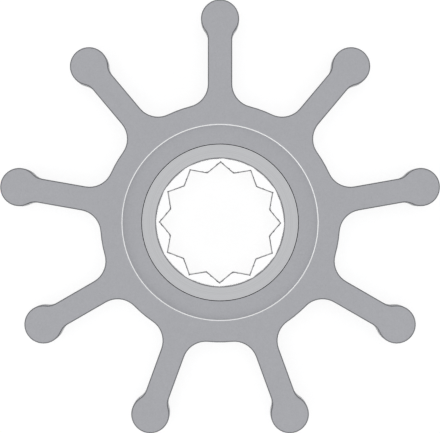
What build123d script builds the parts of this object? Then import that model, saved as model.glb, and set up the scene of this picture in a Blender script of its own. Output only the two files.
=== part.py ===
"""Flexible impeller of a ship's cooling-water pump.

A nine-bladed rubber moulding is bonded to a serrated metal insert. Lengths are in millimetres and
angles in degrees. +Z is the impeller's axis, the lower end face lies at z = 0, and the first blade
points along +Y. Both ends are alike, so the impeller goes on its shaft either way round.
"""

from build123d import *
from math import cos, hypot, isclose, radians, sin, sqrt, tan
import os

# Overall sizes of the rubber moulding
TIP_DIAMETER = 57.15
WIDTH = 31.75

# Serrated bore. Its diameter and depth reach the teeth's sharp corners, which the corner radius then rounds
TOOTH_COUNT = 12
ROOT_DIAMETER = 15.42
TOOTH_DEPTH = 1.2
TOOTH_CORNER_RADIUS = 0.12
BORE_TURN = -0.5
LEAD_IN_MARGIN = 0.56
LEAD_IN_ANGLE = 45
LEAD_IN_EDGE_BREAK = 0.065

# Metal insert: round collars at its ends, and flutes between them that key it into the rubber
INSERT_WALL = 2.39
COLLAR_LENGTH = 3.5
COLLAR_EDGE_BREAK = 0.1
FLUTE_RADIUS = 1.2
FLUTE_DEPTH = 0.8

# Rubber hub, with a shallow recess round the insert at each end
HUB_WALL = 5.27
RECESS_LAND = 2.4
RECESS_DEPTH = 0.5
RECESS_LIP_CHAMFER = 0.13

# Blades, each ending in a round bead that wipes the pump's bore
BLADE_COUNT = 9
FIRST_BLADE = 90
BLADE_THICKNESS = 3.12
BLADE_ROOT_RADIUS = 2.97
BEAD_DIAMETER = 4.9
BEAD_NECK_RADIUS = 1.87
END_EDGE_CHAMFER = 0.14

# Worked out from the sizes above
root_radius = ROOT_DIAMETER / 2
insert_radius = root_radius + INSERT_WALL
insert_length = WIDTH - 2 * RECESS_DEPTH
impeller_ends = (0, WIDTH)
insert_ends = (RECESS_DEPTH, WIDTH - RECESS_DEPTH)
recess_radius = insert_radius + RECESS_LAND
hub_radius = insert_radius + HUB_WALL
bead_radius = BEAD_DIAMETER / 2
bead_centre_radius = TIP_DIAMETER / 2 - bead_radius
lead_in_radius = root_radius + LEAD_IN_MARGIN
tooth_pitch = 360 / TOOTH_COUNT

ON_BASE = (Align.CENTER, Align.CENTER, Align.MIN)
TOLERANCE = 1e-4


def polar(radius, angle):
    """The point at this radius and angle about the axis."""
    return radius * cos(radians(angle)), radius * sin(radians(angle))


def corners_at(sketch, radius):
    """The corners of a sketch that lie at this radius from the axis."""
    return sketch.vertices().filter_by(lambda v: isclose(hypot(v.X, v.Y), radius, abs_tol=TOLERANCE))


def rims_at(solid, radius, ends):
    """The round edges of a solid that have this radius and lie at one of these two heights."""
    circles = solid.edges().filter_by(GeomType.CIRCLE)
    rims = circles.filter_by(lambda e: isclose(e.radius, radius, abs_tol=TOLERANCE))
    return rims.filter_by(lambda e: any(isclose(e.center().Z, end, abs_tol=TOLERANCE) for end in ends))


def impeller_outline():
    """Hub, blades and tip beads as one outline, with the blade roots and the necks of the beads rounded."""
    half_blade = BLADE_THICKNESS / 2
    hub = Rot(0, 0, FIRST_BLADE) * Circle(hub_radius)
    blade = Rectangle(bead_centre_radius, BLADE_THICKNESS, align=(Align.MIN, Align.CENTER))
    bead = Pos(bead_centre_radius, 0) * Circle(bead_radius)
    outline = hub + PolarLocations(0, BLADE_COUNT, FIRST_BLADE) * (blade + bead)
    outline = fillet(corners_at(outline, hub_radius), BLADE_ROOT_RADIUS)
    neck_along_blade = bead_centre_radius - sqrt(bead_radius**2 - half_blade**2)
    return fillet(corners_at(outline, hypot(neck_along_blade, half_blade)), BEAD_NECK_RADIUS)


def at_both_ends(tool):
    """A tool that works up from z = 0 at the lower end, and its mirror image at the upper end."""
    return tool + Pos(0, 0, WIDTH) * mirror(tool, about=Plane.XY)


def insert_blank():
    """The insert's outside, before it is bored."""
    flute_length = insert_length - 2 * COLLAR_LENGTH
    flute_centre_radius = insert_radius + FLUTE_RADIUS - FLUTE_DEPTH
    over_first_crest = BORE_TURN + tooth_pitch / 2
    barrel = Cylinder(insert_radius, insert_length, align=ON_BASE)
    flute = Pos(0, 0, COLLAR_LENGTH) * Cylinder(FLUTE_RADIUS, flute_length, align=ON_BASE)
    flutes = PolarLocations(flute_centre_radius, TOOTH_COUNT, over_first_crest) * flute
    return Pos(0, 0, RECESS_DEPTH) * (barrel - flutes)


def serrated_bore():
    """The bore's space: a star of blunt teeth, with a countersunk lead-in at each end of the insert."""
    corners = []
    for tooth in range(TOOTH_COUNT):
        root_angle = BORE_TURN + tooth * tooth_pitch
        corners.append(polar(root_radius, root_angle))
        corners.append(polar(root_radius - TOOTH_DEPTH, root_angle + tooth_pitch / 2))
    star = Polygon(*corners, align=None)
    star = fillet(star.vertices(), TOOTH_CORNER_RADIUS)
    lead_in_depth = lead_in_radius / tan(radians(LEAD_IN_ANGLE))
    lead_in = Pos(0, 0, RECESS_DEPTH) * Cone(lead_in_radius, 0, lead_in_depth, align=ON_BASE)
    return extrude(star, WIDTH) + at_both_ends(lead_in)


def metal_insert():
    """The insert, turned, fluted and broached from one bar, with its rims broken.

    The rubber stops square at the outer rims, so that their breaks leave a fine groove round the insert.
    """
    insert = insert_blank() - serrated_bore()
    insert = chamfer(rims_at(insert, insert_radius, insert_ends), COLLAR_EDGE_BREAK)
    return chamfer(rims_at(insert, lead_in_radius, insert_ends), LEAD_IN_EDGE_BREAK)


def rubber_body():
    """The moulding: hub and blades in one, with the insert's space inside it."""
    body = extrude(impeller_outline(), WIDTH)
    ends = body.faces().filter_by(Axis.Z)
    body = chamfer(ends.edges(), END_EDGE_CHAMFER)
    body -= at_both_ends(Cylinder(recess_radius, RECESS_DEPTH, align=ON_BASE))
    body = chamfer(rims_at(body, recess_radius, impeller_ends), RECESS_LIP_CHAMFER)
    return body - insert_blank()


os.makedirs("parts", exist_ok=True)
for name, piece in {"rubber_body": rubber_body(), "serrated_insert": metal_insert()}.items():
    piece.label = name
    export_step(piece, f"parts/{name}.step")
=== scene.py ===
"""Finishes, floor, light and camera for the flexible pump impeller.

Lengths are in metres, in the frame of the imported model: +Z is the impeller's axis, it stands on its lower
end face at z = 0, and its first blade points along +Y.
"""

import math

import bpy
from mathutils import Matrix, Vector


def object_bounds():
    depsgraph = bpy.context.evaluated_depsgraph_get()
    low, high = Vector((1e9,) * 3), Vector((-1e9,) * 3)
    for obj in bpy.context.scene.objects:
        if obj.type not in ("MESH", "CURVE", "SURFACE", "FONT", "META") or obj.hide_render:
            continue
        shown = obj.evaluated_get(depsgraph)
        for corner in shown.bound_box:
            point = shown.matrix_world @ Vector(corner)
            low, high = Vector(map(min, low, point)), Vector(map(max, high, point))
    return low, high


MM = 0.001
WHITE = (1, 1, 1, 1)

# The view: straight down on the upper end face, nearly without perspective
IMAGE_WIDTH_ON_FACE = 56.368 * MM
CAMERA_LENS = 1500
CAMERA_SENSOR = 36
CAMERA_ACROSS = -0.007 * MM
CAMERA_UP_BLADE = 0.765 * MM
CAMERA_CLIP_START = 10 * MM

# Light. The levels add up to about one on a level face, so that a colour renders about as written.
# A panel has an azimuth and an elevation in degrees, and a level
SKY_LEVEL = 0.38
SUN_LEVEL = 0.505
SUN_ANGLE = 9
SUN_HEIGHT = 0.5
PANEL_WIDTH = 1.3
PANEL_HEIGHT = 0.45
PANEL_DISTANCE = 0.7
PANELS = {"left_panel": (215, 24, 0.11), "right_panel": (20, 18, 0.05)}

# The floor. To the eye it glows a little, which keeps it white and the shadow on it pale
FLOOR_SIZE = 4.0
FLOOR_TONE = (0.93, 0.93, 0.94, 1)
FLOOR_GLOW = 1.08
FLOOR_GLOW_SHARE = 0.8

# Forms that the finishes follow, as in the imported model
TOOTH_COUNT = 12
ROOT_RADIUS = 7.71 * MM
CREST_RADIUS = 6.51 * MM
BORE_TURN = math.radians(-0.5)

# The painted shade line along the teeth's edge: its width, and the width of its core in full tone
TOOTH_LINE = 0.13 * MM
TOOTH_LINE_CORE = 0.6 * TOOTH_LINE

# Radii between two rims, from where the outer one's painted tone starts to where it is full
LIP_TO_OUTLINE = (14 * MM, 14.1 * MM)
LEAD_IN_TO_COLLAR = (9 * MM, 9.1 * MM)

# Slopes, from where a finish starts to where it is full. A wall's is 0, a 45 degree face's is 0.71, and a
# level face's is 1
WALL = (0.3, 0.1)
END_FACE = (0.95, 0.98)
UP_TO_RUBBER_EDGE = (0.35, 0.55)
DOWN_TO_RUBBER_EDGE = (0.93, 0.82)
UP_TO_COLLAR_RIM = (0.5, 0.6)
FLATTER_THAN_LEAD_IN = (0.8, 0.87)

# Tones
RUBBER = (0.377, 0.381, 0.404, 1)
# Painted shade on the rubber's chamfered edges, darker than the rubber itself
RUBBER_EDGE_SHADE = (0.15, 0.153, 0.163, 1)
# Painted highlight on the chamfer of the recess's lip
RUBBER_LIP_HIGHLIGHT = (0.96, 0.965, 0.97, 1)
TURNED_STEEL = (0.51, 0.515, 0.53, 1)
BRIGHT_STEEL = (0.995, 0.995, 0.998, 1)
BROACHED_STEEL = (0.88, 0.88, 0.89, 1)
# Painted shade on the insert's broken rims and in a line along the teeth's edge
COLLAR_RIM_SHADE = (0.11, 0.11, 0.12, 1)
LEAD_IN_RIM_SHADE = (0.2, 0.2, 0.21, 1)
TOOTH_EDGE_SHADE = (0.28, 0.28, 0.29, 1)

# Even patterns: how many grains or rings a metre, their detail and their roughness
MOTTLE = (180, 3.0, 0.5)
SPECKLE = (1500, 2.0, 0.6)
GRAIN = (5000, 2.0, 0.7)
TURNED_RINGS = (9000, 2.0, 0.6)
TURNED_BANDS = (1600, 2.0, 0.6)

# Marks drawn out along the axis: how many a metre across and along them, their detail and their roughness
WALL_STREAKS = (900, 25, 3.0, 0.5)
DRAW_MARKS = (4200, 90, 2.0, 0.5)
BROACH_MARKS = (5000, 60, 2.0, 0.5)
MEAN_NOISE = 0.5

# How much the rubber's patterns change its tone, height and roughness
RUBBER_LOW_TONE = 0.82
MOTTLE_TONE = 0.06
SPECKLE_TONE = 0.08
GRAIN_TONE = 0.22
STREAK_TONE = 0.2
MOTTLE_HEIGHT = 1.5
GRAIN_HEIGHT = 1.2
DRAW_MARK_HEIGHT = 1.2
RUBBER_BUMP = 0.6
RUBBER_BUMP_DEPTH = 0.03 * MM
RUBBER_ROUGHNESS = 0.44
MOTTLE_ROUGHNESS = 0.1
SPECKLE_ROUGHNESS = 0.08
WALL_GLOSS = 0.16

# How much the steel's patterns change its tone and roughness, and how deep they are
TURNED_LOW_TONE = 0.775
RING_TONE = 0.38
BAND_TONE = 0.07
# Painted shade on the bore's walls, deepening towards the teeth's roots
ROOT_SHADE = 0.4
STEEL_BUMP = 0.5
STEEL_BUMP_DEPTH = 0.012 * MM
BRIGHT_ROUGHNESS = 0.03
TURNED_ROUGHNESS = 0.31
RING_ROUGHNESS = 0.12
BROACHED_ROUGHNESS = 0.14
BROACH_MARK_ROUGHNESS = 0.2
BROACHED_DULLNESS = 0.25


class Wire:
    """A shader node's output. Arithmetic on it adds Math nodes to the same tree."""

    def __init__(self, socket):
        self.socket = socket
        self.tree = socket.id_data

    def __add__(self, other):
        return maths("ADD", self, other)

    def __radd__(self, other):
        return maths("ADD", other, self)

    def __sub__(self, other):
        return maths("SUBTRACT", self, other)

    def __rsub__(self, other):
        return maths("SUBTRACT", other, self)

    def __mul__(self, other):
        return maths("MULTIPLY", self, other)

    def __rmul__(self, other):
        return maths("MULTIPLY", other, self)

    def out(self, name):
        """Another output of the same node."""
        return Wire(self.socket.node.outputs[name])


def add_node(tree, kind, settings=None, inputs=None):
    """Adds a node, sets it up, fills or links its sockets, and returns its first output that is in use."""
    node = tree.nodes.new(kind)
    for name, value in (settings or {}).items():
        setattr(node, name, value)
    for name, value in (inputs or {}).items():
        if isinstance(name, int):
            socket = node.inputs[name]
        else:
            socket = next(s for s in node.inputs if s.name == name and s.enabled)
        if isinstance(value, Wire):
            tree.links.new(value.socket, socket)
        else:
            socket.default_value = value
    return Wire(next(s for s in node.outputs if s.enabled)) if node.outputs else None


def maths(operation, *values):
    """A Math node on wires and numbers, at least one of them a wire."""
    tree = next(value.tree for value in values if isinstance(value, Wire))
    return add_node(tree, "ShaderNodeMath", {"operation": operation}, dict(enumerate(values)))


def empty_tree(owner):
    """The node tree of a material or world, emptied."""
    owner.use_nodes = True
    owner.node_tree.nodes.clear()
    return owner.node_tree


def step(wire, start, end):
    """0 up to start, 1 from end on, and smooth between them. It falls where start is above end."""
    low, high = (0.0, 1.0) if start < end else (1.0, 0.0)
    return add_node(wire.tree, "ShaderNodeMapRange", {"interpolation_type": "SMOOTHSTEP"},
                    {"Value": wire, "From Min": min(start, end), "From Max": max(start, end),
                     "To Min": low, "To Max": high})


def blend(factor, colour, other):
    """The first colour where the factor is 0, and the other where it is 1."""
    return add_node(factor.tree, "ShaderNodeMix", {"data_type": "RGBA"},
                    {"Factor": factor, "A": colour, "B": other})


def toned(colour, tone):
    """A colour made lighter or darker by a number that changes over the surface."""
    grey = add_node(tone.tree, "ShaderNodeCombineColor", None, {"Red": tone, "Green": tone, "Blue": tone})
    return add_node(tone.tree, "ShaderNodeMix", {"data_type": "RGBA", "blend_type": "MULTIPLY"},
                    {"Factor": 1.0, "A": colour, "B": grey})


def noise(place, scale, detail, roughness):
    """Noise from 0 to 1 at so many grains a metre."""
    return add_node(place.tree, "ShaderNodeTexNoise", None,
                    {"Vector": place, "Scale": scale, "Detail": detail, "Roughness": roughness})


def ring_noise(radius, scale, detail, roughness):
    """Noise from 0 to 1 in rings about the axis, at so many rings a metre."""
    return add_node(radius.tree, "ShaderNodeTexNoise", {"noise_dimensions": "1D"},
                    {"W": radius, "Scale": scale, "Detail": detail, "Roughness": roughness})


def axial_noise(place, across, along, detail, roughness):
    """Noise from 0 to 1 in marks along the axis, so many a metre across and along them."""
    drawn_out = add_node(place.tree, "ShaderNodeVectorMath", {"operation": "MULTIPLY"},
                         {0: place, 1: (across, across, along)})
    return noise(drawn_out, 1.0, detail, roughness)


def split(vector):
    """A vector's three numbers."""
    x = add_node(vector.tree, "ShaderNodeSeparateXYZ", None, {"Vector": vector})
    return x, x.out("Y"), x.out("Z")


def surface_places(tree):
    """A surface's places and their x, y, radius and slope, which is 0 on walls and 1 on level faces."""
    place = add_node(tree, "ShaderNodeTexCoord").out("Object")
    x, y = split(place)[:2]
    radius = maths("SQRT", x * x + y * y)
    slope = maths("ABSOLUTE", split(place.out("Normal"))[2])
    return place, x, y, radius, slope


def bumped(height, strength, depth):
    """The normals of a surface that rises by the depth where its height goes from 0 to 1."""
    return add_node(height.tree, "ShaderNodeBump", None,
                    {"Strength": strength, "Distance": depth, "Height": height})


def finish_surface(tree, inputs):
    """Ends a material with its surface shader."""
    surface = add_node(tree, "ShaderNodeBsdfPrincipled", None, inputs)
    add_node(tree, "ShaderNodeOutputMaterial", None, {"Surface": surface})


def rubber_finish():
    """Satin moulded rubber, with painted shade on its broken edges and a painted highlight round the
    recess's lip.
    """
    material = bpy.data.materials.new("moulded_rubber")
    tree = empty_tree(material)
    place, _, _, radius, slope = surface_places(tree)
    on_walls = step(slope, *WALL)

    mottle = noise(place, *MOTTLE)
    speckle = noise(place, *SPECKLE)
    grain = noise(place, *GRAIN)
    streaks = axial_noise(place, *WALL_STREAKS)
    tone = RUBBER_LOW_TONE + MOTTLE_TONE * mottle + SPECKLE_TONE * speckle + GRAIN_TONE * grain
    tone = tone + STREAK_TONE * on_walls * (streaks - MEAN_NOISE)

    # Painted shade on the sloped edge faces, and a painted highlight on the lip's slope inside the outline
    on_painted_rims = step(slope, *UP_TO_RUBBER_EDGE) * step(slope, *DOWN_TO_RUBBER_EDGE)
    rim_shade_and_highlight = blend(step(radius, *LIP_TO_OUTLINE), RUBBER_LIP_HIGHLIGHT, RUBBER_EDGE_SHADE)
    colour = blend(on_painted_rims, RUBBER, rim_shade_and_highlight)

    draw_marks = axial_noise(place, *DRAW_MARKS)
    height = GRAIN_HEIGHT * grain + DRAW_MARK_HEIGHT * on_walls * draw_marks + MOTTLE_HEIGHT * mottle
    roughness = RUBBER_ROUGHNESS + MOTTLE_ROUGHNESS * mottle + SPECKLE_ROUGHNESS * speckle
    finish_surface(tree, {"Base Color": toned(colour, tone),
                          "Roughness": roughness - WALL_GLOSS * on_walls,
                          "Normal": bumped(height, RUBBER_BUMP, RUBBER_BUMP_DEPTH)})
    return material


def beyond_flank(x, y, radius):
    """How far a place lies outside the teeth's flanks, square to them. It is less than 0 in the bore."""
    half_pitch = math.pi / TOOTH_COUNT
    from_root = maths("PINGPONG", maths("ARCTAN2", y, x) - BORE_TURN, half_pitch)
    along = ROOT_RADIUS - CREST_RADIUS * math.cos(half_pitch)
    across = CREST_RADIUS * math.sin(half_pitch)
    flank = math.hypot(along, across)
    inward = radius * maths("COSINE", from_root) - ROOT_RADIUS
    sideways = radius * maths("SINE", from_root)
    return inward * (across / flank) + sideways * (along / flank)


def steel_finish():
    """Steel with turned end faces, painted shade on its broken rims and along the teeth's edge, a bright
    lead-in and a broached bore painted darker towards the teeth's roots.
    """
    material = bpy.data.materials.new("insert_steel")
    tree = empty_tree(material)
    place, x, y, radius, slope = surface_places(tree)
    on_ends = step(slope, *END_FACE)
    on_walls = step(slope, *WALL)
    flatter = step(slope, *FLATTER_THAN_LEAD_IN)
    # Painted shade on the lead-in's rim, the collar's rim and in a line along the teeth's edge
    on_lead_in_rim = flatter * (1 - on_ends)
    on_collar_rim = step(slope, *UP_TO_COLLAR_RIM) * (1 - flatter) * step(radius, *LEAD_IN_TO_COLLAR)
    on_tooth_shade_line = step(beyond_flank(x, y, radius), TOOTH_LINE, TOOTH_LINE_CORE)

    colour = blend(on_ends, BRIGHT_STEEL, TURNED_STEEL)
    colour = blend(on_lead_in_rim, colour, LEAD_IN_RIM_SHADE)
    colour = blend(on_collar_rim, colour, COLLAR_RIM_SHADE)
    colour = blend(on_tooth_shade_line, colour, TOOTH_EDGE_SHADE)
    colour = blend(on_walls, colour, BROACHED_STEEL)

    rings = ring_noise(radius, *TURNED_RINGS)
    turned_tone = TURNED_LOW_TONE + RING_TONE * rings + BAND_TONE * ring_noise(radius, *TURNED_BANDS)
    # Painted shade: the bore's walls are darker towards the teeth's roots
    towards_roots = step(radius, CREST_RADIUS, ROOT_RADIUS)
    tone = 1 - on_ends * (1 - turned_tone) - ROOT_SHADE * on_walls * towards_roots

    broach_marks = axial_noise(place, *BROACH_MARKS)
    height = on_ends * rings + on_walls * broach_marks
    turned_roughness = TURNED_ROUGHNESS + RING_ROUGHNESS * rings
    broached_roughness = BROACHED_ROUGHNESS + BROACH_MARK_ROUGHNESS * broach_marks
    roughness = BRIGHT_ROUGHNESS + on_ends * turned_roughness + on_walls * broached_roughness
    finish_surface(tree, {"Base Color": toned(colour, tone),
                          "Metallic": 1 - BROACHED_DULLNESS * on_walls,
                          "Roughness": roughness,
                          "Normal": bumped(height, STEEL_BUMP, STEEL_BUMP_DEPTH)})
    return material


def dress(node, material):
    """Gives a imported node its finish."""
    node.data.materials.clear()
    node.data.materials.append(material)


def seen_directly(tree):
    """1 for the eye, for reflections and through glass, and 0 for the light that falls on things."""
    camera_ray = add_node(tree, "ShaderNodeLightPath").out("Is Camera Ray")
    other_ray = maths("MAXIMUM", camera_ray.out("Is Glossy Ray"), camera_ray.out("Is Transmission Ray"))
    return maths("MAXIMUM", camera_ray, other_ray)


def raise_sky():
    """White to the eye and in reflections, and a soft even fill otherwise."""
    world = bpy.data.worlds.new("studio")
    tree = empty_tree(world)
    level = SKY_LEVEL + (1 - SKY_LEVEL) * seen_directly(tree)
    background = add_node(tree, "ShaderNodeBackground", None, {"Color": WHITE, "Strength": level})
    add_node(tree, "ShaderNodeOutputWorld", None, {"Surface": background})
    bpy.context.scene.world = world


def lay_floor():
    """A white floor that takes the impeller's soft shadow."""
    bpy.ops.object.select_all(action="DESELECT")
    bpy.ops.mesh.primitive_plane_add(size=FLOOR_SIZE, location=(0, 0, 0))
    floor = bpy.context.object
    floor.name = "floor"
    material = bpy.data.materials.new("floor_white")
    tree = empty_tree(material)
    matt = add_node(tree, "ShaderNodeBsdfDiffuse", None, {"Color": FLOOR_TONE})
    glow = add_node(tree, "ShaderNodeEmission", None, {"Color": WHITE, "Strength": FLOOR_GLOW})
    share = FLOOR_GLOW_SHARE * seen_directly(tree)
    mixed = add_node(tree, "ShaderNodeMixShader", None, {0: share, 1: matt, 2: glow})
    add_node(tree, "ShaderNodeOutputMaterial", None, {"Surface": mixed})
    floor.data.materials.append(material)


def hang_sun():
    """A soft key light straight above the impeller, which polished faces don't mirror."""
    bpy.ops.object.light_add(type="SUN", location=(0, 0, SUN_HEIGHT))
    sun = bpy.context.object
    sun.name = "key"
    sun.visible_glossy = False
    sun.data.energy = SUN_LEVEL * math.pi
    sun.data.angle = math.radians(SUN_ANGLE)


def hang_panel(name, azimuth, elevation, level):
    """A wide soft light turned to the impeller. The level is the light that it gives a level face there."""
    turn = math.radians(azimuth)
    tilt = math.radians(elevation)
    out = PANEL_DISTANCE * math.cos(tilt)
    place = (out * math.cos(turn), out * math.sin(turn), PANEL_DISTANCE * math.sin(tilt))
    facing = (math.pi / 2 - tilt, 0, turn + math.pi / 2)
    bpy.ops.object.light_add(type="AREA", location=place, rotation=facing)
    panel = bpy.context.object
    panel.name = name
    panel.data.shape = "RECTANGLE"
    panel.data.size = PANEL_WIDTH
    panel.data.size_y = PANEL_HEIGHT
    panel.data.energy = level * (math.pi * PANEL_DISTANCE) ** 2 / math.sin(tilt)


def set_camera(top):
    """Looks straight down, with the first blade pointing up."""
    distance = IMAGE_WIDTH_ON_FACE * CAMERA_LENS / CAMERA_SENSOR
    place = (CAMERA_ACROSS, CAMERA_UP_BLADE, top + distance)
    bpy.ops.object.camera_add(location=place, rotation=(0, 0, 0))
    camera = bpy.context.object
    camera.data.lens = CAMERA_LENS
    camera.data.sensor_width = CAMERA_SENSOR
    camera.data.clip_start = CAMERA_CLIP_START
    camera.data.clip_end = 2 * distance
    bpy.context.scene.camera = camera


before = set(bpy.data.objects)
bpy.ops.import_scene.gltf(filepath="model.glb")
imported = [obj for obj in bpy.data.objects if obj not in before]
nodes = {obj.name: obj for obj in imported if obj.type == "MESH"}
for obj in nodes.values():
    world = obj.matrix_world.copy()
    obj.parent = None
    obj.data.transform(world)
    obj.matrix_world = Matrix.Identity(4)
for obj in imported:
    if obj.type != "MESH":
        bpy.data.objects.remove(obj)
cad_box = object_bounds()
dress(nodes["rubber_body"], rubber_finish())
dress(nodes["serrated_insert"], steel_finish())
raise_sky()
lay_floor()
hang_sun()
for name, aim in PANELS.items():
    hang_panel(name, *aim)
set_camera(cad_box[1][2])
bpy.context.scene.view_settings.view_transform = "Standard"
